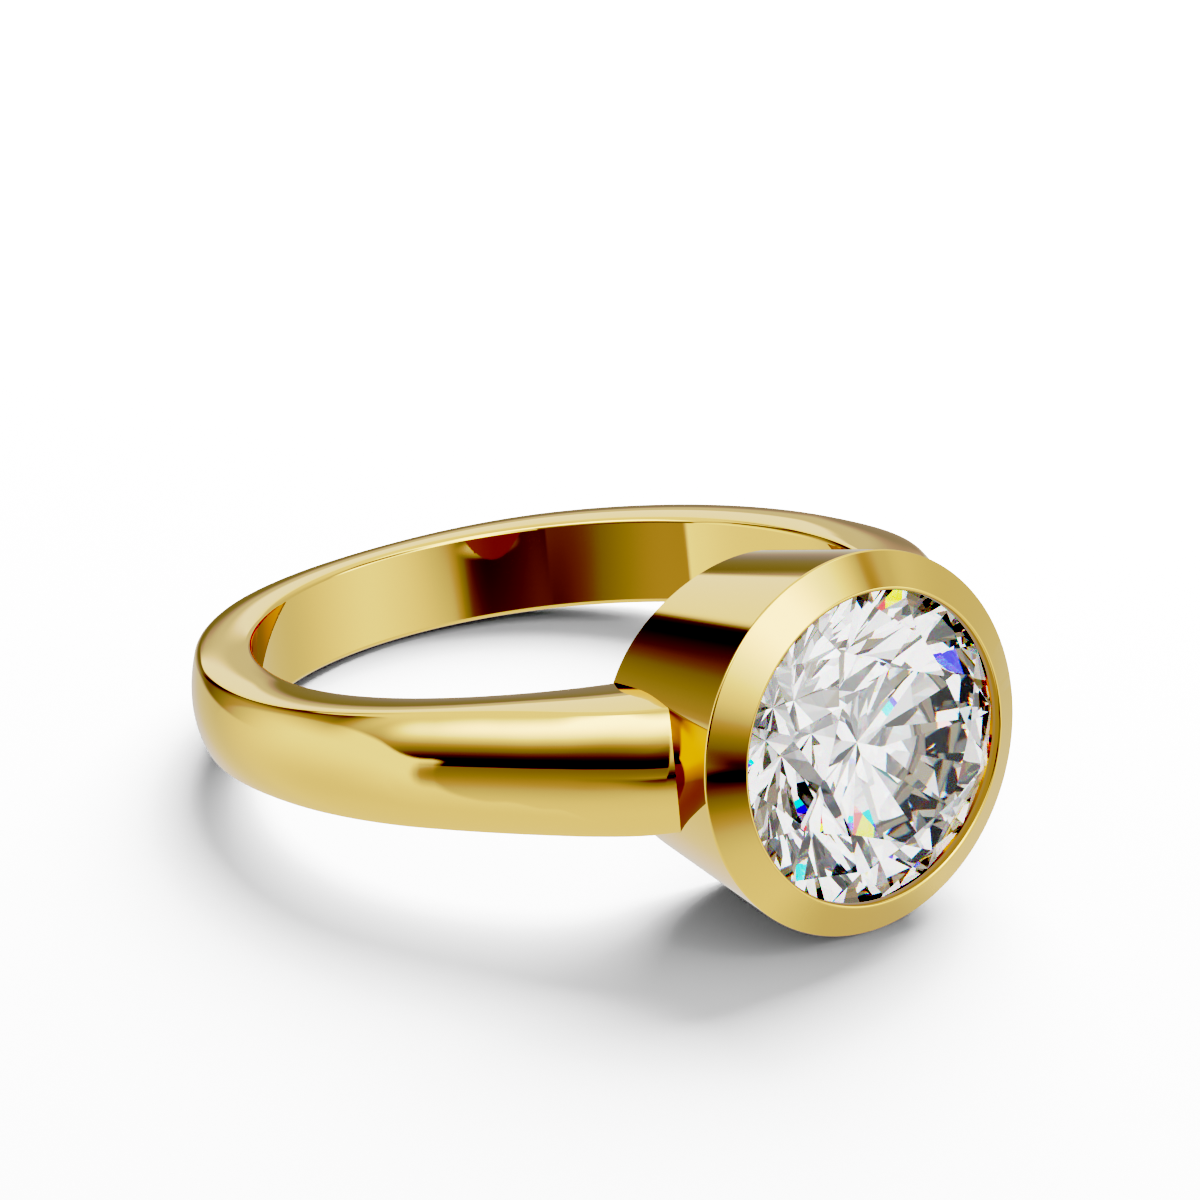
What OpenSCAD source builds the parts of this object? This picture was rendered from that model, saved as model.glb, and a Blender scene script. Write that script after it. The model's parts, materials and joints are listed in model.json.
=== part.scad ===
// Bezel set ring, in millimetres: a tapered shank and a conical bezel cup in one piece of metal, and a
// round brilliant stone. The ring lies on its side, on the back of the shank and the rim of the cup.
//
// The shank, the cup and the stone are drawn about the ring's own centre, with the finger hole along Z
// and the cup's axis along X. at_rest() then tips the whole ring into the pose in which it lies.

/* [Finger hole] */
// Inside diameter
finger_d = 17; // [16.5:0.1:17.5]
// Rounding of the inner edges
inner_edge_r = 0.15; // [0.1:0.05:0.2]

/* [Shank] */
// Wall at the back, opposite the stone
back_t = 1.15; // [1.1:0.05:1.5]
// Wall beside the finger
side_t = 2.2; // [2:0.05:2.4]
// How far the shoulders flare past the side wall where they meet the cup
flare = 1.5; // [1.3:0.05:1.6]
// Width at the back, along the finger
back_w = 2.6; // [2.4:0.1:3]
// Width at the cup
shoulder_w = 3.34; // [3.1:0.02:3.6]
// Height of the outer face's dome at the back
back_dome = 0.12; // [0.1:0.02:0.3]
// Height of the outer face's dome at the cup
shoulder_dome = 0.74; // [0.5:0.02:0.8]
// Rounding between the outer face and the side faces
corner_r = 0.2; // [0.15:0.05:0.25]

/* [Bezel cup] */
// Diameter of the rim
rim_d = 10; // [9.8:0.05:10.2]
// Distance of the rim from the centre of the finger hole
rim_x = 12.9; // [12.8:0.05:13]
// Distance of the lip from the centre of the finger hole
lip_x = 13.5; // [13.4:0.05:13.6]
// Diameter inside the lip
lip_d = 8.1; // [8.05:0.01:8.15]
// Rounding of the rim and the lip
rim_r = 0.07; // [0.05:0.01:0.1]
// Lean of the outer wall from the cup's axis
wall_lean = 9.8; // [8:0.2:11]
// Diameter of the hole between the stone and the finger
light_hole_d = 5.4; // [4.5:0.1:5.4]

/* [Stone] */
// Diameter at the girdle
stone_d = 8.2; // [8.17:0.01:8.25]
// Distance of the girdle from the centre of the finger hole
girdle_x = 13; // [12.95:0.01:13.05]
// Width of the table as a share of the stone's diameter
table_share = 0.57; // [0.53:0.01:0.6]
// Angle of the crown's main facets from the girdle plane
crown_angle = 34.5; // [33:0.5:36]
// Angle of the pavilion's main facets from the girdle plane
pavilion_angle = 41; // [40:0.2:42]
// Girdle, measured where the facets leave it thickest
girdle_t = 0.3; // [0.26:0.02:0.34]
// How far the star facets reach from the table to the girdle
star_share = 0.52; // [0.45:0.01:0.6]
// How far the lower halves reach from the girdle to the point
lower_share = 0.78; // [0.7:0.01:0.85]
// Gap between the stone and the metal
set_gap = 0.03; // [0.02:0.01:0.04]

/* [Hidden] */

function mix(a, b, u) = a + (b - a) * u;
function clamp01(u) = min(max(u, 0), 1);
function smooth(u) = let (v = clamp01(u)) v * v * (3 - 2 * v);

// The shank's wall. One row for each place round half the shank, from the back to inside the cup.
ANGLE = 0; // from the back, in degrees
SIDE_SHARE = 1; // share of the way from the back's wall to the side's
FLARE_SHARE = 2; // share of the flare
places = [
    [0, 0, 0],
    [35, 0.36, 0],
    [70, 0.67, 0],
    [100, 0.92, 0],
    [120, 0.99, 0],
    [132, 1, 0.09],
    [140, 1, 0.33],
    [148, 1, 0.73],
    [155, 1, 1],
    [162, 1, 1.15],
];
last = len(places) - 1;
finger_r = finger_d / 2;

function row_wall(i) = mix(back_t, side_t, places[i][SIDE_SHARE]) + flare * places[i][FLARE_SHARE];
function row_slope(i) =
    let (j = min(i + 1, last))
    i == 0 ? 0 : (row_wall(j) - row_wall(i - 1)) / (places[j][ANGLE] - places[i - 1][ANGLE]);
function row_below(a) = max([for (i = [0 : last - 1]) places[i][ANGLE] <= a ? i : 0]);

// Wall at an angle from the back, on a smooth curve through the rows
function wall(a) =
    let (
        i = row_below(abs(a)),
        span = places[i + 1][ANGLE] - places[i][ANGLE],
        u = (abs(a) - places[i][ANGLE]) / span
    )
    mix(row_wall(i), row_wall(i + 1), smooth(u))
    + span * u * (1 - u) * ((1 - u) * row_slope(i) - u * row_slope(i + 1));

// Half the width grows from just behind the middle of the ring to the cup, and the dome all the way
taper_from_x = -1;
taper_to_x = 9;
function half_w(x) = mix(back_w, shoulder_w, smooth((x - taper_from_x) / (taper_to_x - taper_from_x))) / 2;
function dome(x) = mix(back_dome, shoulder_dome, clamp01((x / finger_r + 1) / 2));

// The dome is an arc through both corners: its radius, the angle at which the corner's rounding meets
// it, and the distance of the rounding's centre from the finger axis
function crest_r(a) = finger_r + wall(a);
function crest_x(a) = -crest_r(a) * cos(a);
function dome_r(a) = let (h = half_w(crest_x(a)), rise = dome(crest_x(a))) (h * h + rise * rise) / (2 * rise);
function corner_angle(a) = asin((half_w(crest_x(a)) - corner_r) / (dome_r(a) - corner_r));
function corner_centre(a) = crest_r(a) - dome_r(a) + (dome_r(a) - corner_r) * cos(corner_angle(a));

// Upper half of the section at an angle from the back, as [distance from the finger axis, height]: the
// inner edge's rounding, which runs on straight into the finger hole, the corner's rounding and the
// dome up to its crest
round_steps = 4;
dome_steps = 5;
skin_r = finger_r - 0.1;
edge_start = 15;
function half_section(a) =
    let (
        inner_h = half_w(-finger_r * cos(a)) - inner_edge_r,
        corner_h = half_w(crest_x(a)) - corner_r,
        run_on = (finger_r - skin_r + inner_edge_r * (1 - cos(edge_start))) / tan(edge_start)
    )
    concat(
        [[skin_r, inner_h + inner_edge_r * sin(edge_start) - run_on]],
        [for (i = [0 : round_steps])
            let (t = mix(edge_start, 90, i / round_steps))
            [finger_r + inner_edge_r * (1 - cos(t)), inner_h + inner_edge_r * sin(t)]],
        [for (i = [0 : round_steps])
            let (t = mix(90, corner_angle(a), i / round_steps))
            [corner_centre(a) + corner_r * cos(t), corner_h + corner_r * sin(t)]],
        [for (i = [1 : dome_steps])
            let (t = corner_angle(a) * (1 - i / dome_steps))
            [crest_r(a) - dome_r(a) * (1 - cos(t)), dome_r(a) * sin(t)]]
    );

// The whole section at its place in the ring, from the inside over the top and back below
function section(a) =
    let (upper = half_section(a), n = len(upper))
    [for (p = concat(upper, [for (i = [n - 2 : -1 : 0]) [upper[i][0], -upper[i][1]]]))
        [-p[0] * cos(a), p[0] * sin(a), p[1]]];

// The shank as one skin through its sections, from inside the cup's wall right round to it again
section_step = 4;
section_end = 160;
module shank_skin() {
    rings = [for (a = [section_end : -section_step : -section_end]) section(a)];
    n = len(rings[0]);
    end = (len(rings) - 1) * n;
    // each end is closed by strips from a point of the upper half to its mirror image below
    strips = [for (i = [0 : (n - 3) / 2]) [i, i + 1, n - 2 - i, n - 1 - i]];
    polyhedron(
        points = [for (r = rings) each r],
        faces = concat(
            strips,
            [for (low = [0 : n : end - n], i = [0 : n - 1])
                let (k = (i + 1) % n, high = low + n)
                each [[low + i, high + i, high + k], [low + i, high + k, low + k]]],
            [for (s = strips) [for (i = [3 : -1 : 0]) end + s[i]]]
        ),
        convexity = 6
    );
}

// The cup's outline, as [distance from its axis, distance from the finger axis]
rim_c = [rim_d / 2 - rim_r, rim_x];
lip_c = [lip_d / 2 + rim_r, lip_x - rim_r];
bevel_lean = atan2(lip_c[1] - rim_c[1], rim_c[0] - lip_c[0]);
cup_foot_x = 6.6;
function rounding(c, from, to) =
    [for (i = [0 : round_steps])
        let (t = mix(from, to, i / round_steps))
        c + rim_r * [cos(t), sin(t)]];
function wall_r(x) =
    rim_c[0] + rim_r * cos(wall_lean) - (rim_c[1] - rim_r * sin(wall_lean) - x) * tan(wall_lean);

// The stone's own heights, from the middle of its girdle. The main facets stand proud by a hair, so they
// end just short of the girdle and only the halves meet it.
stone_r = stone_d / 2;
half_girdle = girdle_t / 2;
main_h = half_girdle + 0.02;
table_r = table_share * stone_r;
table_h = half_girdle + (stone_r - table_r) * tan(crown_angle);
table_edge_r = table_r * cos(22.5);
star_r = mix(table_edge_r, stone_r, star_share);
star_h = half_girdle + (stone_r - star_r * cos(22.5)) * tan(crown_angle);
lower_r = (1 - lower_share) * stone_r;
lower_h = half_girdle + (stone_r - lower_r * cos(22.5)) * tan(pavilion_angle);

// Slopes of the ridges between the halves, which the cup's bearing and the underside of its lip follow
crown_ridge = (star_h - half_girdle) / (stone_r - star_r);
pavilion_ridge = (lower_h - half_girdle) / (stone_r - lower_r);
function lip_underside(r) =
    girdle_x + half_girdle + (stone_r - r) * crown_ridge + set_gap * sqrt(1 + crown_ridge * crown_ridge);
function bearing(r) =
    girdle_x - half_girdle - (stone_r - r) * pavilion_ridge - set_gap * sqrt(1 + pavilion_ridge * pavilion_ridge);

module bezel_cup() {
    light_hole_r = light_hole_d / 2;
    seat_r = stone_r + set_gap;
    rotate([0, 90, 0])
        rotate_extrude($fn = 180)
            polygon(concat(
                [[light_hole_r, cup_foot_x], [wall_r(cup_foot_x), cup_foot_x]],
                rounding(rim_c, -wall_lean, 90 - bevel_lean),
                rounding(lip_c, 90 - bevel_lean, 180),
                [[lip_d / 2, lip_underside(lip_d / 2)], [seat_r, lip_underside(seat_r)]],
                [[seat_r, bearing(seat_r)], [light_hole_r, bearing(light_hole_r)]]
            ));
}

// The ring rests on two points: the lower corner of the shank's back and the bottom of the rim. The
// tilt brings both to the same height.
contact_run = rim_c[1] + corner_centre(0);
contact_rise = rim_c[0] - (half_w(crest_x(0)) - corner_r);
tilt = atan2(contact_rise, contact_run) + asin((rim_r - corner_r) / norm([contact_run, contact_rise]));
lift = rim_c[0] * cos(tilt) + rim_r - rim_c[1] * sin(tilt);

// The origin lies below the middle of the ring's box, whose ends are the back and the stone's table
back_reach = max([for (p = half_section(0)) p * [cos(tilt), sin(tilt)]]);
front_reach = (girdle_x + table_h) * cos(tilt) + table_r * sin(tilt);

module at_rest()
    translate([(back_reach - front_reach) / 2, 0, lift])
        rotate([0, -tilt, 0])
            children();

module shank_and_bezel()
    color("gold")
        at_rest()
            difference() {
                union() {
                    shank_skin();
                    bezel_cup();
                }
                cylinder(h = 3 * rim_d, r = finger_r, center = true, $fn = 180);
            }

// Everything below a flat that leans towards a direction and lies at a distance from the centre
block = 4 * stone_d;
module below_flat(turn, lean, reach)
    rotate([0, lean, turn])
        translate([-block / 2, -block / 2, reach - block])
            cube(block);

// The stone is cut as a real one is, in rows of flats. Each row: how many, the first one's turn about
// the stone's axis, the lean from the table, and a point of the flat as [distance out, height].
COUNT = 0;
TURN = 1;
LEAN = 2;
POINT = 3;
halves_r = stone_r * cos(11.25);
cuts = [
    [1, 0, 0, [0, table_h]],
    [8, 0, crown_angle, [stone_r, main_h]],
    [8, 22.5, atan2(table_h - star_h, star_r - table_edge_r), [star_r, star_h]],
    [16, 11.25, atan2(star_h - half_girdle, halves_r - star_r * cos(11.25)), [halves_r, half_girdle]],
    [8, 0, 180 - pavilion_angle, [stone_r, -main_h]],
    [16, 11.25, 180 - atan2(lower_h - half_girdle, halves_r - lower_r * cos(11.25)), [halves_r, -half_girdle]],
];

module stone()
    color("aliceblue")
        at_rest()
            translate([girdle_x, 0, 0])
                rotate([0, 90, 0])
                    intersection_for (c = cuts)
                        intersection() {
                            cylinder(h = stone_d, r = stone_r, center = true, $fn = 180);
                            intersection_for (i = [0 : c[COUNT] - 1])
                                below_flat(
                                    c[TURN] + i * 360 / c[COUNT],
                                    c[LEAN],
                                    c[POINT] * [sin(c[LEAN]), cos(c[LEAN])]
                                );
                        }

shank_and_bezel();
stone();
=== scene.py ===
"""A bezel set ring that lies on its side: a polished gold band and cup, a round brilliant, a pale floor"""

import json
from collections import namedtuple
from math import asin, atan2, cos, cosh, degrees, hypot, log, pi, radians, sin, tan
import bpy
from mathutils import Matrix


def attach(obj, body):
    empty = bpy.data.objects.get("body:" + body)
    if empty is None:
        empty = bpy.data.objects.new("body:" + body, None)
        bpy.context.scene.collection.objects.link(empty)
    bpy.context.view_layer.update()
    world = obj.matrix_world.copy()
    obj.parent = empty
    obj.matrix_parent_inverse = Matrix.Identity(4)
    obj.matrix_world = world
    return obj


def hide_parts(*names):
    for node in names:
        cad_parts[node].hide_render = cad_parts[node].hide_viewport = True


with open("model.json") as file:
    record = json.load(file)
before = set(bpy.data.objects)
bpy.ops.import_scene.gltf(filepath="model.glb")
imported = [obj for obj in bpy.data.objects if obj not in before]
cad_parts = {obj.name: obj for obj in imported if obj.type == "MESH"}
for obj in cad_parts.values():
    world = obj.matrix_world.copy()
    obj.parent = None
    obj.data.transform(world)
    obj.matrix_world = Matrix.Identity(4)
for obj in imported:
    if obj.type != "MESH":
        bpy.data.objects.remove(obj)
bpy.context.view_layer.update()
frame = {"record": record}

from types import SimpleNamespace

import bmesh
import bpy
from bpy.props import FloatProperty, FloatVectorProperty, PointerProperty
from mathutils import Matrix, Vector
from mathutils.bvhtree import BVHTree

bl_info = {
    "name": "Bezel Set Ring",
    "version": (1, 0, 0),
    "blender": (4, 5, 0),
    "location": "3D View > Sidebar > Ring",
    "description": "Builds a polished bezel set ring with a round brilliant, and a small studio for it",
    "category": "Object",
}

MM = 0.001
FINGER_HOLE = frame["record"]["mounts"][0]


def amount(name, description, value, **kind):
    return FloatProperty(name=name, description=description, default=value, **kind)


def length(name, description, millimetres):
    return amount(name, description, millimetres * MM, unit="LENGTH", precision=5)


def angle(name, description, at):
    return amount(name, description, radians(at), subtype="ANGLE")


def share(name, description, of_whole):
    return amount(name, description, of_whole, subtype="FACTOR", min=0, max=1)


def colour(name, description, code):
    """A colour given as sRGB hex, kept as the linear values that shaders use"""
    linear = []
    for at in (1, 3, 5):
        value = int(code[at : at + 2], 16) / 255
        linear.append(value / 12.92 if value <= 0.04045 else ((value + 0.055) / 1.055) ** 2.4)
    return FloatVectorProperty(
        name=name, description=description, default=linear, subtype="COLOR", min=0, max=1
    )


class RingBandSizes(bpy.types.PropertyGroup):
    """The band and the cup, drawn about the finger hole's centre with the cup's axis along X"""

    finger_d: length("Finger hole", "Inside diameter", 2 * FINGER_HOLE["dims"]["r_mm"])
    inner_edge_r: length("Inner edge", "Rounding of the inner edges", 0.15)
    back_t: length("Back wall", "Wall opposite the stone", 1.15)
    side_t: length("Side wall", "Wall beside the finger", 2.2)
    flare: length("Flare", "How far the shoulders flare past the side wall", 1.5)
    back_w: length("Back width", "Width at the back, along the finger", 2.6)
    shoulder_w: length("Shoulder width", "Width at the cup", 3.34)
    back_dome: length("Back dome", "Height of the outer face's dome at the back", 0.12)
    shoulder_dome: length("Shoulder dome", "Height of the outer face's dome at the cup", 0.74)
    corner_r: length("Corner", "Rounding between the outer face and the side faces", 0.2)
    side_crest: share("Side crest", "Where the side faces are highest, from finger hole to corner", 0.6)
    rim_d: length("Rim", "Diameter of the cup's rim", 10)
    rim_x: length("Rim distance", "Distance of the rim from the finger hole's centre", 12.9)
    lip_x: length("Lip distance", "Distance of the lip from the finger hole's centre", 13.5)
    lip_d: length("Lip", "Diameter inside the lip", 8.1)
    rim_r: length("Rim rounding", "Rounding of the rim and the lip", 0.07)
    light_hole_d: length("Light hole", "Diameter of the hole between the stone and the finger", 5.4)
    wall_lean: angle("Cup lean", "Lean of the cup's outer wall from its axis", 9.8)


class BrilliantSizes(bpy.types.PropertyGroup):
    """The stone, cut with fifty-seven flats and a plain girdle"""

    stone_d: length("Girdle", "Diameter at the girdle", 8.2)
    girdle_x: length("Girdle distance", "Distance of the girdle from the finger hole's centre", 13)
    girdle_t: length("Girdle thickness", "Girdle where the facets leave it thickest", 0.3)
    set_gap: length("Setting gap", "Gap between the stone and the metal", 0.03)
    table_share: share("Table", "Width of the table as a share of the stone's diameter", 0.57)
    star_share: share("Stars", "How far the star facets reach from the table to the girdle", 0.52)
    lower_share: share("Lower halves", "How far the lower halves reach from the girdle to the point", 0.78)
    crown_angle: angle("Crown", "Angle of the crown's main facets from the girdle", 34.5)
    pavilion_angle: angle("Pavilion", "Angle of the pavilion's main facets from the girdle", 41)
    turn: angle("Turn", "Turn of the stone in its cup", 0)


class PolishedGoldLook(bpy.types.PropertyGroup):
    """The finish of the band and the cup"""

    gold: colour("Gold", "Colour of the polished metal", "#FFDB9E")
    polish: amount("Polish", "Roughness where the buffing is best", 0.015)
    haze: amount("Haze", "Roughness where the buffing is least even", 0.035)
    # painted glow: a fixed grey emission for the metal where it is seen through the stone
    painted_glimmer: colour("Glimmer", "The metal as it shows through the stone", "#635E55")


class BrilliantLook(bpy.types.PropertyGroup):
    """The finish of the stone"""

    ior: amount("Index", "Refractive index for green light", 2.418)
    fire: amount("Fire", "Difference of the index between red and blue light", 0.022)
    # painted reflection: strength of a fixed grey glow that stands in for the stone where the metal mirrors
    # it
    mirrored: amount("Mirrored", "Brightness of the stone mirrored in the metal", 0.13)
    girdle_roughness: amount("Girdle", "Roughness of the ground girdle", 0.25)


class StudioSettings(bpy.types.PropertyGroup):
    """The floor, the light and the camera"""

    floor_colour: colour("Floor", "Colour of the floor", "#F4F4F4")
    # painted glow: an even emission on the floor that lifts the floor's shadows
    floor_glow: amount("Glow", "Light that comes up through the translucent floor", 0.04)
    exposure_share: amount("Exposure", "Share of the light that the picture keeps", 1 / 2.4)
    overhead_power: amount("Overhead", "Power of the softbox over the floor", 0.57, unit="POWER")
    lens: amount("Lens", "Focal length in millimetres", 148.6)


# Small tools


def in_millimetres(group):
    """A group's lengths in millimetres, and its other values as they are"""
    values = SimpleNamespace()
    for prop in group.bl_rna.properties:
        if prop.identifier not in ("rna_type", "name"):
            value = getattr(group, prop.identifier)
            setattr(values, prop.identifier, value / MM if prop.unit == "LENGTH" else value)
    return values


def mix(a, b, u):
    return a + (b - a) * u


def smooth(u):
    v = min(max(u, 0), 1)
    return v * v * (3 - 2 * v)


def at_rest():
    """The turn and shift from the finger hole's own frame to the way the ring lies, in metres"""
    axis = Vector(FINGER_HOLE["axis"])
    tilt = atan2(-axis.x, axis.z)
    turned = Matrix.Translation(FINGER_HOLE["pos_m"]) @ Matrix.Rotation(-tilt, 4, "Y")
    return turned @ Matrix.Scale(MM, 4)


def mesh_object(name, bm):
    """A new object with the mesh that a bmesh holds"""
    mesh = bpy.data.meshes.new(name)
    bm.to_mesh(mesh)
    bm.free()
    obj = bpy.data.objects.new(name, mesh)
    bpy.context.collection.objects.link(obj)
    return obj


# The band's section


# Angle from the back in degrees, share of the way from the back's wall to the side's, share of the flare
PLACES = (
    (0, 0, 0),
    (35, 0.36, 0),
    (70, 0.67, 0),
    (100, 0.921, 0),
    (118, 0.972, 0),
    (126, 1, 0.015),
    (134, 1, 0.152),
    (141, 1, 0.383),
    (147, 1, 0.658),
    (154, 1, 0.975),
    (162, 1, 1.153),
)


def band_wall(s, at):
    """Wall at an angle from the back in degrees, on a smooth curve through the places"""
    walls = [mix(s.back_t, s.side_t, side) + s.flare * flare for _, side, flare in PLACES]
    angles = [place[0] for place in PLACES]
    last = len(PLACES) - 1

    def slope(i):
        j = min(i + 1, last)
        return 0 if i == 0 else (walls[j] - walls[i - 1]) / (angles[j] - angles[i - 1])

    at = abs(at)
    i = max(k for k in range(last) if angles[k] <= at)
    span = angles[i + 1] - angles[i]
    u = (at - angles[i]) / span
    bend = (1 - u) * slope(i) - u * slope(i + 1)
    return mix(walls[i], walls[i + 1], smooth(u)) + span * u * (1 - u) * bend


# Where the band starts and stops widening, on the way from the back to the cup
TAPER_FROM, TAPER_TO = -1, 9
# The skin runs on a little way inside the finger hole, which is bored through it last
SKIN_DEPTH = 0.1
# The inner edges' rounding starts at this angle, after a straight stretch that the bore cuts off
EDGE_START = radians(15)
ROUND_STEPS, DOME_STEPS, SIDE_STEPS = 8, 24, 10
# Buffing leaves the side faces a little domed: their turn for each millimetre, and their steepest lean
SIDE_TURN, SIDE_LEAN = radians(10.8), radians(6)


def band_section(s, at):
    """The section's outline at an angle from the back, as (distance from the finger axis, height)"""
    finger_r = s.finger_d / 2
    skin_r = finger_r - SKIN_DEPTH
    crest_r = finger_r + band_wall(s, at)
    crest_x = -crest_r * cos(radians(at))

    def half_width(x):
        along = (x - TAPER_FROM) / (TAPER_TO - TAPER_FROM)
        return mix(s.back_w, s.shoulder_w, smooth(along)) / 2

    rise = mix(s.back_dome, s.shoulder_dome, min(max((crest_x / finger_r + 1) / 2, 0), 1))
    half = half_width(crest_x)
    dome_r = (half * half + rise * rise) / (2 * rise)
    corner = asin((half - s.corner_r) / (dome_r - s.corner_r))
    centre = crest_r - dome_r + (dome_r - s.corner_r) * cos(corner)
    inner = half_width(-finger_r * cos(radians(at))) - s.inner_edge_r
    run_on = (finger_r - skin_r + s.inner_edge_r * (1 - cos(EDGE_START))) / tan(EDGE_START)

    upper = [(skin_r, inner + s.inner_edge_r * sin(EDGE_START) - run_on)]
    for i in range(ROUND_STEPS + 1):
        t = mix(EDGE_START, pi / 2, i / ROUND_STEPS)
        upper.append((finger_r + s.inner_edge_r * (1 - cos(t)), inner + s.inner_edge_r * sin(t)))
    from_r, from_h = upper[-1]
    for i in range(1, SIDE_STEPS):
        u = i / SIDE_STEPS
        upper.append((mix(from_r, centre, u), mix(from_h, half, u)))
    for i in range(ROUND_STEPS + 1):
        t = mix(pi / 2, corner, i / ROUND_STEPS)
        upper.append((centre + s.corner_r * cos(t), half - s.corner_r + s.corner_r * sin(t)))
    for i in range(1, DOME_STEPS + 1):
        t = corner * (1 - i / DOME_STEPS)
        upper.append((crest_r - dome_r * (1 - cos(t)), dome_r * sin(t)))

    side_crest_r = mix(finger_r, centre, s.side_crest)

    def drop(r):
        return SIDE_LEAN**2 / SIDE_TURN * log(cosh((r - side_crest_r) * SIDE_TURN / SIDE_LEAN))

    upper = [(r, h * (1 + (drop(centre) - drop(r)) / half)) for r, h in upper]
    return upper + [(r, -h) for r, h in reversed(upper[:-1])]


# The band ends inside the cup's wall, this many degrees from the back, with a section for each degree
BAND_END = 160


def band_skin(s):
    """The band from one side of the cup round to the other: one section, spun, then fitted to each place"""
    bm = bmesh.new()
    place = bm.verts.layers.int.new("place")
    start = radians(180 - BAND_END)
    for i, (r, h) in enumerate(band_section(s, BAND_END)):
        vert = bm.verts.new((r * cos(start), r * sin(start), h))
        vert[place] = i
    verts = list(bm.verts)
    edges = [bm.edges.new(pair) for pair in zip(verts, verts[1:] + verts[:1])]
    bmesh.ops.spin(
        bm,
        geom=verts + edges,
        cent=(0, 0, 0),
        axis=(0, 0, 1),
        angle=radians(2 * BAND_END),
        steps=2 * BAND_END,
    )
    sections = {}
    for vert in bm.verts:
        at = round(degrees(atan2(vert.co.y, -vert.co.x)), 3)
        if at not in sections:
            sections[at] = band_section(s, at)
        r, h = sections[at][vert[place]]
        vert.co = (-r * cos(radians(at)), r * sin(radians(at)), h)
    bmesh.ops.holes_fill(bm, edges=[edge for edge in bm.edges if edge.is_boundary], sides=0)
    bmesh.ops.recalc_face_normals(bm, faces=bm.faces)
    return bm


# The cup

# The cup is spun from this far inside the finger hole, which is bored through it last
FOOT_X = 6.6
CUP_STEPS, FINGER_STEPS = 360, 720
# Everything of the cup lies past this distance from the finger axis
HEAD_X = 6
# How near a point lies to its surface, and how far off a rounding, as a share of the rounding's radius
ON_SURFACE, OFF_ROUNDING = 0.02, 0.1
# Leads that the cup needs over the band, and one stretch of the outline over the stretch before it
CUP_LEAD, STRETCH_LEAD = 0.001, 1e-7
# Keeps the weight of a point that lies on a corner finite
TINY = 1e-9


class CupOutline:
    """The cup's outline in points, each a distance from its own axis and one from the finger axis"""

    def __init__(self, s, stone):
        r = s.rim_r
        rim = (s.rim_d / 2 - r, s.rim_x)
        lip = (s.lip_d / 2 + r, s.lip_x - r)
        lean = s.wall_lean
        bevel = atan2(lip[1] - rim[1], rim[0] - lip[0])
        foot_r = rim[0] + r * cos(lean) - (rim[1] - r * sin(lean) - FOOT_X) * tan(lean)
        hole_r = s.light_hole_d / 2
        seat_r = stone.stone_d / 2 + stone.set_gap
        self.corners = [(hole_r, FOOT_X), (foot_r, FOOT_X)]
        self.roundings = [(rim, -lean, pi / 2 - bevel), (lip, pi / 2 - bevel, pi)]
        for centre, start, end in self.roundings:
            for i in range(ROUND_STEPS + 1):
                t = mix(start, end, i / ROUND_STEPS)
                self.corners.append((centre[0] + r * cos(t), centre[1] + r * sin(t)))
        facets = Brilliant(stone)
        lip_r = s.lip_d / 2
        self.corners += [(lip_r, facets.lip_underside(lip_r)), (seat_r, facets.lip_underside(seat_r))]
        self.corners += [(seat_r, facets.bearing(seat_r)), (hole_r, facets.bearing(hole_r))]
        self.radius = r

    def normal(self, point):
        """The way out of the metal at a point near the outline"""
        best = None
        ends = self.corners[1:] + self.corners[:1]
        for (ax, ay), (bx, by) in zip(self.corners, ends):
            dx, dy = bx - ax, by - ay
            size = hypot(dx, dy)
            along = min(max(((point[0] - ax) * dx + (point[1] - ay) * dy) / (size * size), 0), 1)
            away = hypot(point[0] - ax - along * dx, point[1] - ay - along * dy)
            if best is None or away < best[0] - STRETCH_LEAD:
                best = (away, (dy / size, -dx / size))
        for centre, start, end in self.roundings:
            dx, dy = point[0] - centre[0], point[1] - centre[1]
            r = hypot(dx, dy)
            if start <= atan2(dy, dx) <= end and abs(r - self.radius) < self.radius * OFF_ROUNDING:
                return dx / r, dy / r
        return best[1]


def cup_skin(outline):
    """The cup's outline, spun round its axis"""
    bm = bmesh.new()
    verts = [bm.verts.new((x, r, 0)) for r, x in outline.corners]
    edges = [bm.edges.new(pair) for pair in zip(verts, verts[1:] + verts[:1])]
    bmesh.ops.spin(
        bm,
        geom=verts + edges,
        cent=(0, 0, 0),
        axis=(1, 0, 0),
        angle=2 * pi,
        steps=CUP_STEPS,
        use_merge=True,
    )
    bmesh.ops.recalc_face_normals(bm, faces=bm.faces)
    return bm


def polished_normals(obj, s, outline):
    """The exact normal of the surface each face lies on, at each of its corners, for clean reflections"""
    skin = band_skin(s)
    skin.normal_update()
    tree = BVHTree.FromBMesh(skin)
    skin.faces.ensure_lookup_table()
    finger_r = s.finger_d / 2

    def hole(p):
        return Vector((-p.x, -p.y, 0)).normalized(), abs(hypot(p.x, p.y) - finger_r)

    def cup(p):
        r = hypot(p.y, p.z)
        out, up = outline.normal((r, p.x))
        return Vector((up, out * p.y / r, out * p.z / r)), 0

    def band(p):
        spot, _, index, away = tree.find_nearest(p)
        face = skin.faces[index]
        weights, normal = 0, Vector()
        for vert in face.verts:
            weight = 1 / ((vert.co - spot).length_squared + TINY)
            normal += vert.normal * weight
            weights += weight
        return normal.normalized(), away

    mesh = obj.data
    normals = [Vector((0, 0, 1))] * len(mesh.loops)
    for face in mesh.polygons:
        middle = face.center
        choices = []
        for surface in (hole, band):
            normal, away = surface(middle)
            if away < ON_SURFACE:
                choices.append((normal.dot(face.normal), surface))
        if middle.x > HEAD_X:
            choices.append((cup(middle)[0].dot(face.normal) - CUP_LEAD, cup))
        surface = max(choices, key=lambda choice: choice[0])[1]
        for i in face.loop_indices:
            normals[i] = surface(mesh.vertices[mesh.loops[i].vertex_index].co)[0]
    skin.free()
    return normals


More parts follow.
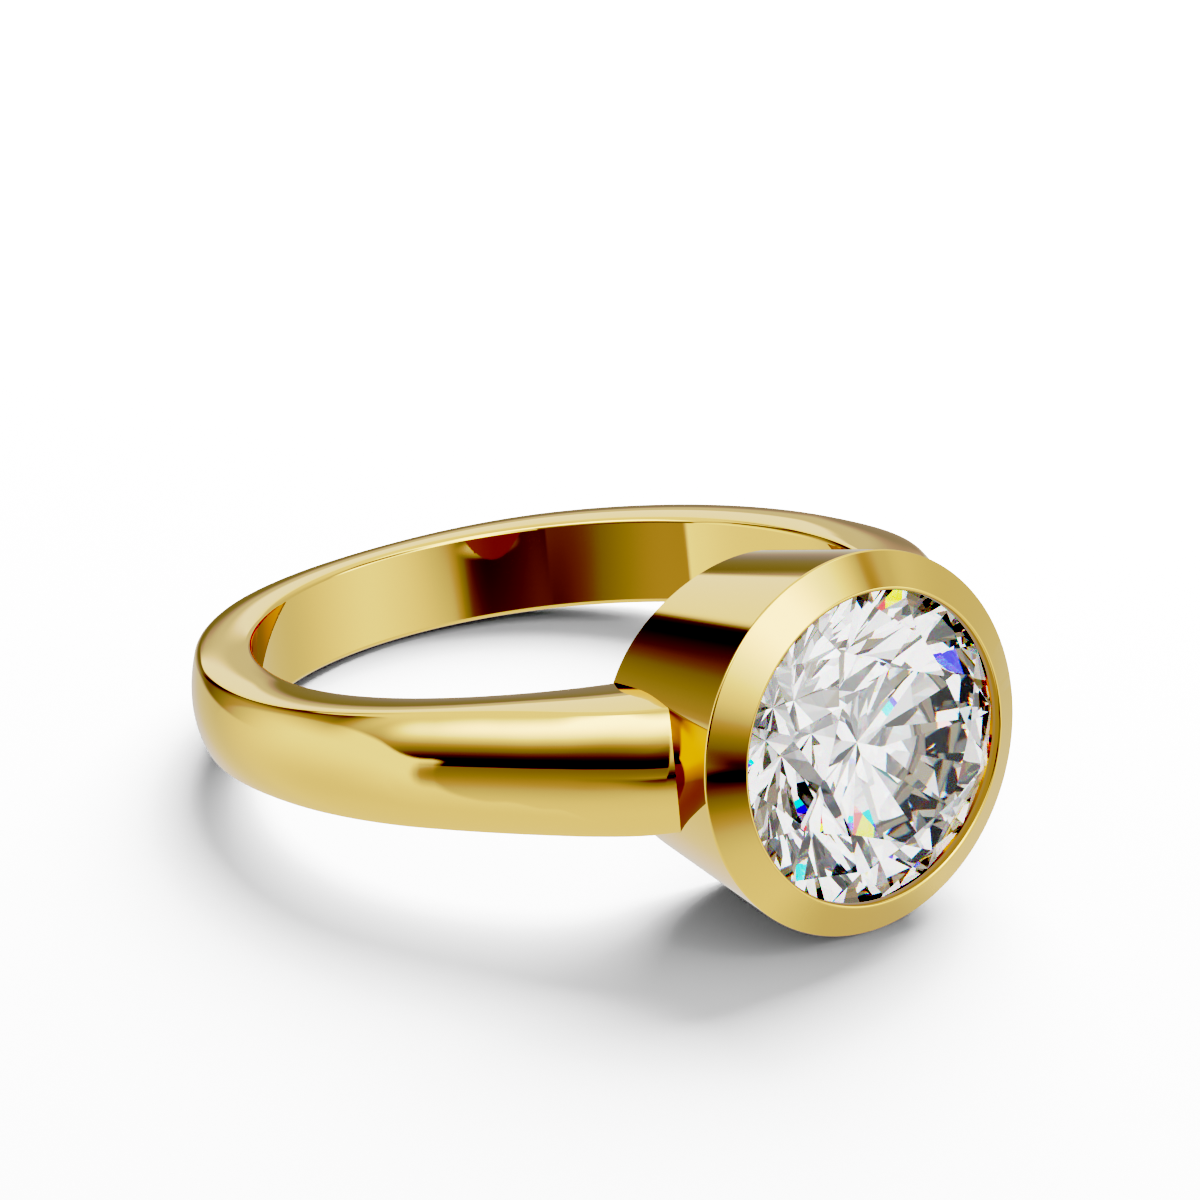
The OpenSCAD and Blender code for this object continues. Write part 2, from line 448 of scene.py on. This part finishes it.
class RING_OT_band_and_cup(bpy.types.Operator):
    """Makes the gold band with its cup as one polished piece"""

    bl_idname = "ring.band_and_cup"
    bl_label = "Band and Cup"

    def execute(self, context):
        s = in_millimetres(context.scene.ring_band)
        stone = in_millimetres(context.scene.ring_brilliant)
        outline = CupOutline(s, stone)
        band = mesh_object("gold_band_and_cup", band_skin(s))
        cup = mesh_object("cup", cup_skin(outline))
        bm = bmesh.new()
        finger_r = s.finger_d / 2
        bmesh.ops.create_cone(
            bm,
            cap_ends=True,
            segments=FINGER_STEPS,
            radius1=finger_r,
            radius2=finger_r,
            depth=3 * s.rim_d,
        )
        finger = mesh_object("finger", bm)
        for other, operation in ((cup, "UNION"), (finger, "DIFFERENCE")):
            join = band.modifiers.new(other.name, "BOOLEAN")
            join.object = other
            join.operation = operation
            join.solver = "MANIFOLD"
        graph = context.evaluated_depsgraph_get()
        joined = bpy.data.meshes.new_from_object(band.evaluated_get(graph))
        band.modifiers.clear()
        band.data = joined
        for other in (cup, finger):
            bpy.data.objects.remove(other)
        if not joined.polygons:
            raise RuntimeError("the band and the cup didn't join")
        normals = polished_normals(band, s, outline)
        rest = at_rest()
        turn = rest.to_3x3().normalized()
        joined.transform(rest)
        joined.shade_smooth()
        joined.normals_split_custom_set([turn @ normal for normal in normals])
        joined.materials.clear()
        joined.materials.append(polished_gold(context.scene.ring_gold))
        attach(band, "root")
        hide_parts("shank_and_bezel")
        return {"FINISHED"}


# The stone

GIRDLE_STEPS = 192
# Half the turn from one flat to the next in degrees, of eight flats and of sixteen
HALF_OF_8, HALF_OF_16 = 22.5, 11.25
# At the main facets the girdle reaches this much further up and down
MAIN_RISE = 0.02
CUT_TOLERANCE, MERGE_DISTANCE = 1e-5, 1e-4
# The sine of the most that a face of the girdle leans
GIRDLE_LEAN = 0.05


class Brilliant:
    """The stone's heights and slopes, from the middle of its girdle"""

    def __init__(self, s):
        self.r = s.stone_d / 2
        self.gap = s.set_gap
        self.girdle_x = s.girdle_x
        self.half = s.girdle_t / 2
        self.main_h = self.half + MAIN_RISE
        eighth = cos(radians(HALF_OF_8))
        self.table_r = s.table_share * self.r
        self.table_h = self.half + (self.r - self.table_r) * tan(s.crown_angle)
        self.table_edge_r = self.table_r * eighth
        self.star_r = mix(self.table_edge_r, self.r, s.star_share)
        self.star_h = self.half + (self.r - self.star_r * eighth) * tan(s.crown_angle)
        self.lower_r = (1 - s.lower_share) * self.r
        self.lower_h = self.half + (self.r - self.lower_r * eighth) * tan(s.pavilion_angle)
        self.crown_ridge = (self.star_h - self.half) / (self.r - self.star_r)
        self.pavilion_ridge = (self.lower_h - self.half) / (self.r - self.lower_r)
        sixteenth = cos(radians(HALF_OF_16))
        halves = self.r * sixteenth
        star_lean = atan2(self.table_h - self.star_h, self.star_r - self.table_edge_r)
        upper_lean = atan2(self.star_h - self.half, halves - self.star_r * sixteenth)
        lower_lean = atan2(self.lower_h - self.half, halves - self.lower_r * sixteenth)
        # How many flats, the first one's turn in degrees, the lean from the table, and a point of the flat
        self.cuts = (
            (1, 0, 0, (0, self.table_h)),
            (8, 0, s.crown_angle, (self.r, self.main_h)),
            (8, HALF_OF_8, star_lean, (self.star_r, self.star_h)),
            (16, HALF_OF_16, upper_lean, (halves, self.half)),
            (8, 0, pi - s.pavilion_angle, (self.r, -self.main_h)),
            (16, HALF_OF_16, pi - lower_lean, (halves, -self.half)),
        )

    def lip_underside(self, r):
        """Distance of the lip's underside from the finger axis, at a distance from the stone's axis"""
        gap = self.gap * hypot(1, self.crown_ridge)
        return self.girdle_x + self.half + (self.r - r) * self.crown_ridge + gap

    def bearing(self, r):
        """Distance of the bearing from the finger axis, at a distance from the stone's axis"""
        gap = self.gap * hypot(1, self.pavilion_ridge)
        return self.girdle_x - self.half - (self.r - r) * self.pavilion_ridge - gap


class RING_OT_brilliant(bpy.types.Operator):
    """Cuts the round brilliant from a short cylinder, one flat after another"""

    bl_idname = "ring.brilliant"
    bl_label = "Brilliant"

    def execute(self, context):
        s = in_millimetres(context.scene.ring_brilliant)
        facets = Brilliant(s)
        bm = bmesh.new()
        bmesh.ops.create_cone(
            bm,
            cap_ends=True,
            segments=GIRDLE_STEPS,
            radius1=facets.r,
            radius2=facets.r,
            depth=2 * facets.r,
        )
        for count, first, lean, (out, up) in facets.cuts:
            for i in range(count):
                turn = radians(first + 360 / count * i)
                normal = Vector((sin(lean) * cos(turn), sin(lean) * sin(turn), cos(lean)))
                point = Vector((out * cos(turn), out * sin(turn), up))
                cut = bmesh.ops.bisect_plane(
                    bm,
                    geom=bm.verts[:] + bm.edges[:] + bm.faces[:],
                    dist=CUT_TOLERANCE,
                    plane_co=point,
                    plane_no=normal,
                    clear_outer=True,
                )
                edges = [item for item in cut["geom_cut"] if isinstance(item, bmesh.types.BMEdge)]
                bmesh.ops.contextual_create(bm, geom=edges)
        bmesh.ops.remove_doubles(bm, verts=bm.verts, dist=MERGE_DISTANCE)
        bmesh.ops.recalc_face_normals(bm, faces=bm.faces)
        for face in bm.faces:
            face.smooth = False
            face.material_index = 1 if abs(face.normal.z) < GIRDLE_LEAN else 0
        # its own axis turns from Z to the cup's axis
        upright = Matrix.Translation((s.girdle_x, 0, 0)) @ Matrix.Rotation(pi / 2, 4, "Y")
        place = upright @ Matrix.Rotation(s.turn, 4, "Z")
        bmesh.ops.transform(bm, matrix=at_rest() @ place, verts=bm.verts)
        stone = mesh_object("round_brilliant", bm)
        stone.data.materials.append(clear_diamond(context.scene.ring_stone))
        stone.data.materials.append(ground_girdle(context.scene.ring_stone))
        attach(stone, "root")
        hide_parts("stone")
        return {"FINISHED"}


# Materials

# Sizes of the patches that the buff leaves, and of the grit that the girdle was ground with
BUFF_PATCH, GRIT = 1.6 * MM, 0.05 * MM
# Nearly all of the patches' noise lies between these values
PATCH_LOW, PATCH_HIGH = 0.35, 0.65
FROST = (0.9, 0.9, 0.9)


def add(tree, kind, inputs=(), **settings):
    """Adds a node with its settings. Inputs are (socket, value or output socket) pairs."""
    node = tree.nodes.new(kind)
    for name, value in settings.items():
        setattr(node, name, value)
    for socket, value in inputs:
        if isinstance(value, bpy.types.NodeSocket):
            tree.links.new(value, node.inputs[socket])
        else:
            node.inputs[socket].default_value = value
    return node


def maths(tree, operation, *values):
    return add(tree, "ShaderNodeMath", list(enumerate(values)), operation=operation).outputs[0]


def ramp(tree, value, start, end, low=0.0, high=1.0, **settings):
    """Carries a value between start and end over to the range from low to high"""
    inputs = [("Value", value), ("From Min", start), ("From Max", end), ("To Min", low), ("To Max", high)]
    return add(tree, "ShaderNodeMapRange", inputs, **settings).outputs["Result"]


def between(tree, factor, first, second):
    """The first number where the factor is 0, the second where it is 1"""
    inputs = [("Factor", factor), ("A", first), ("B", second)]
    return add(tree, "ShaderNodeMix", inputs, data_type="FLOAT").outputs["Result"]


def blend(tree, factor, first, second):
    """The first shader where the factor is 0, the second where it is 1"""
    return add(tree, "ShaderNodeMixShader", [(0, factor), (1, first), (2, second)]).outputs[0]


def together(tree, first, second):
    """The light of both shaders"""
    return add(tree, "ShaderNodeAddShader", [(0, first), (1, second)]).outputs[0]


def noise(tree, size, detail):
    """Soft random patches of a size"""
    place = add(tree, "ShaderNodeTexCoord").outputs["Object"]
    inputs = [("Vector", place), ("Scale", 1 / size), ("Detail", detail)]
    return add(tree, "ShaderNodeTexNoise", inputs).outputs["Fac"]


def glass(tree, tint, roughness, ior):
    inputs = [("Color", (*tint, 1)), ("Roughness", roughness), ("IOR", ior)]
    return add(tree, "ShaderNodeBsdfGlass", inputs).outputs["BSDF"]


def new_material(name):
    material = bpy.data.materials.new(name)
    material.use_nodes = True
    material.node_tree.nodes.clear()
    return material, material.node_tree


def polished_gold(look):
    """Yellow gold, cast, filed and buffed to a mirror: crisp, a little softer where the buff ran uneven"""
    material, tree = new_material("polished_yellow_gold")
    # the buff leaves patches a millimetre or two across, and hair lines far finer than they show
    roughness = ramp(tree, noise(tree, BUFF_PATCH, 3.0), PATCH_LOW, PATCH_HIGH, look.polish, look.haze)
    inputs = [("Base Color", (*look.gold, 1)), ("Metallic", 1.0), ("Roughness", roughness)]
    metal = add(tree, "ShaderNodeBsdfPrincipled", inputs).outputs["BSDF"]
    # seen through the stone, the cup is a painted grey glow, not the metal's reflections: the stone's back
    # mirrors nearly all the light
    inside = add(tree, "ShaderNodeLightPath").outputs["Is Transmission Ray"]
    painted_glimmer = add(tree, "ShaderNodeEmission", [("Color", (*look.painted_glimmer, 1))]).outputs[0]
    add(tree, "ShaderNodeOutputMaterial", [("Surface", blend(tree, inside, metal, painted_glimmer))])
    return material


def clear_diamond(look):
    """Colourless diamond, polished flat: hard bright and dark patches, with a little fire at their edges"""
    material, tree = new_material("clear_cut_diamond")

    def polished(tint, ior):
        return glass(tree, tint, 0.0, ior)

    # the colours part where the light enters, which is enough for the fire and keeps the facets clean
    parted = together(tree, polished((1, 0, 0), look.ior - look.fire / 2), polished((0, 1, 0), look.ior))
    parted = together(tree, parted, polished((0, 0, 1), look.ior + look.fire / 2))
    path = add(tree, "ShaderNodeLightPath").outputs
    stone = blend(tree, path["Is Camera Ray"], polished((1, 1, 1), look.ior), parted)
    # a ray that the metal mirrors ends where it meets the stone from outside, in a painted dark grey glow
    # that stands in for the stone's reflection
    inside = add(tree, "ShaderNodeNewGeometry").outputs["Backfacing"]
    outside = maths(tree, "GREATER_THAN", path["Is Glossy Ray"], inside)
    painted_stone_image = add(tree, "ShaderNodeEmission", [("Strength", look.mirrored)]).outputs[0]
    add(tree, "ShaderNodeOutputMaterial", [("Surface", blend(tree, outside, stone, painted_stone_image))])
    return material


def ground_girdle(look):
    """The stone's edge, ground round and left unpolished: a fine frosted grey line"""
    material, tree = new_material("ground_diamond_girdle")
    smoothest = look.girdle_roughness
    roughness = ramp(tree, noise(tree, GRIT, 2.0), 0.0, 1.0, smoothest, 2 * smoothest)
    add(tree, "ShaderNodeOutputMaterial", [("Surface", glass(tree, FROST, roughness, look.ior))])
    return material


# Studio

# Panels and dark gaps round the ring, each painted over the ones before it, all in degrees. Slope is how
# far the middle climbs for each degree across, bow how that slope changes, and lean how far the sides lean
# for each degree up.
Panel = namedtuple(
    "Panel",
    "azimuth height half_across half_up soft_left soft_right soft_below soft_above slope level lean bow",
    defaults=(0, 0),
)
ROOM_LEVEL = 0.88
PANELS = {
    "floor level": Panel(0, -90, 180, 78, 10, 10, 6, 6, 0, 0.77),
    "far floor": Panel(0, 0.5, 180, 31.3, 10, 10, 31.8, 20.8, 0, 0.59),
    "front overhead": Panel(-37.1, 73.9, 66.4, 24.9, 8.5, 12, 14, 13.5, 0.25, 2.14),
    "right overhead": Panel(21.6, 35, 38.2, 22.9, 12.7, 7.7, 6, 7.7, -0.07, 1.95, lean=0.18),
    "top light": Panel(0, 90, 180, 18.1, 10, 10, 7.2, 8, 0, 0.78),
    "front floor": Panel(-59.3, 1.4, 29.2, 17, 2.5, 0.5, 26.3, 5.6, 0.41, 0.33, bow=0.0064),
    "gap tail": Panel(-91.1, 8.9, 25.3, 14.9, 11, 11.5, 7, 14.8, -0.65, 0.41, lean=0.14),
    "front gap top": Panel(-62.1, 20.2, 32, 23.1, 21.3, 0.5, 11.5, 23.2, 0.17, 0.26, bow=-0.0067),
    "front gap": Panel(-61.9, 14.3, 31.8, 8, 7.2, 0.5, 1.1, 11.3, 0.15, 0.09, bow=-0.0023),
    "left glow": Panel(-116.7, 5.1, 32.2, 23.2, 23.8, 1, 32.1, 1.6, -0.04, 1.01, lean=-0.07, bow=-0.0187),
    "far gap": Panel(164.3, 2, 30.8, 7.9, 29.6, 8.1, 9.8, 1.7, 0.3, 0.24, lean=-0.25),
    "far panel": Panel(155.3, 24, 31.2, 16, 6.2, 1.7, 0.9, 1.2, -0.15, 0.97, lean=0.71),
    "left gap": Panel(-176.4, 20.8, 3.7, 25, 3.8, 4.9, 2.3, 4.5, 0.49, 0.07),
    "left gap foot": Panel(-173.2, 0, 11.4, 11.9, 16.4, 23, 1, 5.7, 0.33, 0.13),
    "left gap tail": Panel(-149.7, 30.3, 31, 8.4, 4.3, 7.8, 14.9, 1.5, 0.16, 0.16, lean=-0.37),
    "camera floor": Panel(-23.8, -10.9, 30.2, 5.2, 24.5, 5, 20, 2.6, 0.06, 0.08, lean=-0.72),
    "camera gap top": Panel(-10.8, 9.2, 19.2, 6, 0.5, 5.5, 5.1, 17.6, 0.42, 0.02),
    "camera gap": Panel(12.3, -3.7, 42.4, 2.1, 0.5, 3.5, 2.2, 2.2, 0.02, 0.02),
    "right dim spot": Panel(43.8, 34.3, 21.1, 12, 13.8, 8.5, 6.8, 10, -0.05, 0.32),
    "right glow": Panel(41.1, -8.2, 21.3, 12.5, 27.7, 27.6, 5.9, 6, -0.03, 0.98, lean=-0.33),
}


# The things of the room that the stone's facets pick out: how fine they are, what part of their random
# numbers counts, and the levels of the darkest and the brightest
THINGS, THINGS_PICK, THINGS_LEVEL = 3.4, (0.13, 0.82), (0.1, 1.62)


def ray_direction(tree):
    return add(tree, "ShaderNodeTexCoord").outputs["Generated"]


def paint_panels(tree):
    """The studio's light as one number for every direction"""
    way = add(tree, "ShaderNodeSeparateXYZ", [(0, ray_direction(tree))])

    def calc(operation, *values):
        return maths(tree, operation, *values)

    def rise(value, start, end):
        return ramp(tree, value, start, end, interpolation_type="SMOOTHSTEP")

    def inside(value, half, soft_low, soft_high):
        from_low = rise(value, -half - soft_low, soft_low - half)
        return calc("MULTIPLY", from_low, rise(value, half + soft_high, half - soft_high))

    azimuth = calc("DEGREES", calc("ARCTAN2", way.outputs["Y"], way.outputs["X"]))
    height = calc("DEGREES", calc("ARCSINE", way.outputs["Z"]))
    level = ROOM_LEVEL
    for panel in PANELS.values():
        across = calc("WRAP", calc("SUBTRACT", azimuth, panel.azimuth), 180.0, -180.0)
        up = calc("SUBTRACT", height, panel.height)
        climb = calc("MULTIPLY", across, calc("MULTIPLY_ADD", across, panel.bow, panel.slope))
        cover = inside(calc("SUBTRACT", up, climb), panel.half_up, panel.soft_below, panel.soft_above)
        if panel.half_across < 180:
            aside = calc("SUBTRACT", across, calc("MULTIPLY", up, panel.lean))
            sides = inside(aside, panel.half_across, panel.soft_left, panel.soft_right)
            cover = calc("MULTIPLY", cover, sides)
        level = between(tree, cover, level, panel.level)
    return level


def stone_light(tree):
    """The light inside the stone: many small bright and dark things of the room"""
    inputs = [("Vector", ray_direction(tree)), ("Scale", THINGS), ("Randomness", 1.0)]
    things = add(tree, "ShaderNodeTexVoronoi", inputs)
    pick = add(tree, "ShaderNodeSeparateColor", [(0, things.outputs["Color"])]).outputs[0]
    return ramp(tree, pick, *THINGS_PICK, *THINGS_LEVEL)


# How the picture answers to light: light in, brightness out
TONE_CURVE = (
    (0.0, 0.0),
    (0.039, 0.0),
    (0.0625, 0.1),
    (0.089, 0.2),
    (0.115, 0.3),
    (0.133, 0.4),
    (0.166, 0.5),
    (0.21, 0.6),
    (0.264, 0.7),
    (0.37, 0.8),
    (0.443, 0.85),
    (0.52, 0.9),
    (0.629, 0.94),
    (0.761, 0.97),
    (1.0, 1.0),
)

# The camera's place in the finger hole's own frame, in millimetres, and its picture's right and up
CAMERA_PLACE = (107.59, -72.63, 39.45)
CAMERA_RIGHT = (0.5868, 0.804, -0.0962)
CAMERA_UP = (-0.1742, 0.2413, 0.9547)
SENSOR_WIDTH = 36
CLIP_NEAR, CLIP_FAR = 0.01, 10

# The floor reaches this far each way from the middle, in metres
FLOOR_REACH = 0.5
# How bright the metal mirrors the floor, as painted shade that keeps it dimmer than the floor the camera
# sees, with a painted glow that lifts its shadows; where the cup's rim stands on it in the finger hole's own
# frame, and how far from there the mirrored floor starts to fade and is gone
REFLECTED_FLOOR, REFLECTED_PAINTED_GLOW = 0.15, 0.17
CUP_FOOT = (12.9, 0, -5.0)
FLOOR_FADE = (1.5 * MM, 4 * MM)

# Levels of the light on the floor from all round, and of the backdrop behind it
FLOOR_LIGHT, BACKDROP = 0.6, 2.4
# What the metal mirrors by way of another part of the metal gets a painted shade that stands in for the
# ring's shadow, the floor inside it most: the shade deepens from the horizon down to a direction that falls
# this steeply
SECOND_IMAGE_UP, SECOND_IMAGE_DOWN = 0.85, 0.36
STEEP = -0.4

SOFTBOX_ACROSS, SOFTBOX_PLACE = 0.2, (-0.088, 0.125, 0.129)
STONE_BOUNCES, MIRROR_BOUNCES = 16, 8
# The curve for all three colours together, after those of red, green and blue
COMBINED_CURVE = 3


def lay_floor(settings):
    """A pale floor. The camera sees all of it, the metal mirrors it only dimly and near the cup's foot"""
    bm = bmesh.new()
    bmesh.ops.create_grid(bm, x_segments=1, y_segments=1, size=FLOOR_REACH)
    floor = mesh_object("floor", bm)
    material, tree = new_material("pale_matt_floor")

    def paper_and_painted_glow(share_kept, strength):
        tint = (*[share_kept * c for c in settings.floor_colour], 1)
        matt = add(tree, "ShaderNodeBsdfDiffuse", [("Color", tint)]).outputs[0]
        # the emission is a painted glow that lifts the floor's shadows
        return together(tree, matt, add(tree, "ShaderNodeEmission", [("Strength", strength)]).outputs[0])

    # further out the metal mirrors the panels that are painted below the horizon; the stone doesn't see the
    # floor at all, because its own light comes from below too
    place = add(tree, "ShaderNodeTexCoord").outputs["Object"]
    foot = at_rest() @ Vector(CUP_FOOT)
    away = add(tree, "ShaderNodeVectorMath", [(0, place), (1, foot)], operation="DISTANCE").outputs["Value"]
    fade = ramp(tree, away, *FLOOR_FADE, interpolation_type="SMOOTHSTEP")
    clear = add(tree, "ShaderNodeBsdfTransparent").outputs[0]
    mirrored = blend(tree, fade, paper_and_painted_glow(REFLECTED_FLOOR, REFLECTED_PAINTED_GLOW), clear)
    seen = add(tree, "ShaderNodeLightPath").outputs["Is Camera Ray"]
    surface = blend(tree, seen, mirrored, paper_and_painted_glow(1, settings.floor_glow))
    add(tree, "ShaderNodeOutputMaterial", [("Surface", surface)])
    floor.data.materials.append(material)
    floor.visible_transmission = False


def light_room(kept):
    """The room's light, other for each kind of ray. Kept is the share of it that the picture keeps."""
    world = bpy.data.worlds.new("studio")
    world.use_nodes = True
    tree = world.node_tree
    tree.nodes.clear()
    path = add(tree, "ShaderNodeLightPath").outputs

    def background(strength):
        return add(tree, "ShaderNodeBackground", [("Strength", strength)]).outputs[0]

    # the glossy depth counts the mirrors that a ray has met
    second = maths(tree, "GREATER_THAN", path["Glossy Depth"], 1.5)
    way = add(tree, "ShaderNodeSeparateXYZ", [(0, ray_direction(tree))])
    shaded = ramp(tree, way.outputs["Z"], STEEP, 0.0, SECOND_IMAGE_DOWN, SECOND_IMAGE_UP)
    mirrored = maths(tree, "MULTIPLY", paint_panels(tree), between(tree, second, 1.0, shaded))
    light = background(FLOOR_LIGHT * kept)
    for ray, strength in (
        ("Is Glossy Ray", maths(tree, "MULTIPLY", mirrored, kept)),
        ("Is Transmission Ray", maths(tree, "MULTIPLY", stone_light(tree), kept)),
        ("Is Camera Ray", BACKDROP * kept),
    ):
        light = blend(tree, path[ray], light, background(strength))
    add(tree, "ShaderNodeOutputWorld", [("Surface", light)])
    return world


def hang_softbox(power):
    """A round softbox that lights the floor from above, and shows in neither the metal nor the stone"""
    softbox = bpy.data.lights.new("overhead_softbox", "AREA")
    softbox.shape = "DISK"
    softbox.size = SOFTBOX_ACROSS
    softbox.energy = power
    overhead = bpy.data.objects.new("overhead_softbox", softbox)
    overhead.location = SOFTBOX_PLACE
    overhead.rotation_euler = (-overhead.location).to_track_quat("-Z", "Y").to_euler()
    overhead.visible_glossy = False
    overhead.visible_transmission = False
    overhead.visible_camera = False
    return overhead


def place_camera(focal_length):
    """The camera, placed and turned as the photo's"""
    lens = bpy.data.cameras.new("camera")
    lens.sensor_width = SENSOR_WIDTH
    lens.lens = focal_length
    lens.clip_start = CLIP_NEAR
    lens.clip_end = CLIP_FAR
    camera = bpy.data.objects.new("camera", lens)
    rest = at_rest()
    right, up = Vector(CAMERA_RIGHT).normalized(), Vector(CAMERA_UP)
    back = right.cross(up).normalized()
    up = back.cross(right)
    turn = rest.to_3x3().normalized() @ Matrix((right, up, back)).transposed()
    camera.matrix_world = Matrix.Translation(rest @ Vector(CAMERA_PLACE)) @ turn.to_4x4()
    return camera


def set_tones(view):
    """Shows the picture by the tone curve"""
    view.view_transform = "Standard"
    view.use_curve_mapping = True
    points = view.curve_mapping.curves[COMBINED_CURVE].points
    points[0].location, points[-1].location = TONE_CURVE[0], TONE_CURVE[-1]
    for place in TONE_CURVE[1:-1]:
        points.new(*place)
    view.curve_mapping.update()


class RING_OT_studio(bpy.types.Operator):
    """Sets the floor, the light and the camera"""

    bl_idname = "ring.studio"
    bl_label = "Studio"

    def execute(self, context):
        scene = context.scene
        settings = scene.ring_studio
        lay_floor(settings)
        scene.world = light_room(settings.exposure_share)
        context.collection.objects.link(hang_softbox(settings.overhead_power))
        scene.camera = place_camera(settings.lens)
        context.collection.objects.link(scene.camera)
        cycles = scene.cycles
        cycles.max_bounces = STONE_BOUNCES
        cycles.transmission_bounces = STONE_BOUNCES
        cycles.glossy_bounces = MIRROR_BOUNCES
        cycles.caustics_reflective = False
        cycles.caustics_refractive = False
        set_tones(scene.view_settings)
        return {"FINISHED"}


class VIEW3D_PT_ring(bpy.types.Panel):
    """Lists the ring's pieces and their sizes"""

    bl_label = "Bezel Set Ring"
    bl_space_type = "VIEW_3D"
    bl_region_type = "UI"
    bl_category = "Ring"

    def draw(self, context):
        for group in GROUPS:
            box = self.layout.box()
            settings = getattr(context.scene, group)
            for prop in settings.bl_rna.properties:
                if prop.identifier not in ("rna_type", "name"):
                    box.prop(settings, prop.identifier)
        for operator in OPERATORS:
            self.layout.operator(operator.bl_idname)


GROUPS = {
    "ring_band": RingBandSizes,
    "ring_brilliant": BrilliantSizes,
    "ring_gold": PolishedGoldLook,
    "ring_stone": BrilliantLook,
    "ring_studio": StudioSettings,
}
OPERATORS = (RING_OT_band_and_cup, RING_OT_brilliant, RING_OT_studio)


def register():
    for name, group in GROUPS.items():
        bpy.utils.register_class(group)
        setattr(bpy.types.Scene, name, PointerProperty(type=group))
    for cls in (*OPERATORS, VIEW3D_PT_ring):
        bpy.utils.register_class(cls)


def unregister():
    for cls in reversed((*OPERATORS, VIEW3D_PT_ring)):
        bpy.utils.unregister_class(cls)
    for name, group in reversed(GROUPS.items()):
        delattr(bpy.types.Scene, name)
        bpy.utils.unregister_class(group)


def main():
    register()
    bpy.ops.ring.band_and_cup()
    bpy.ops.ring.brilliant()
    bpy.ops.ring.studio()


if __name__ == "__main__":
    main()
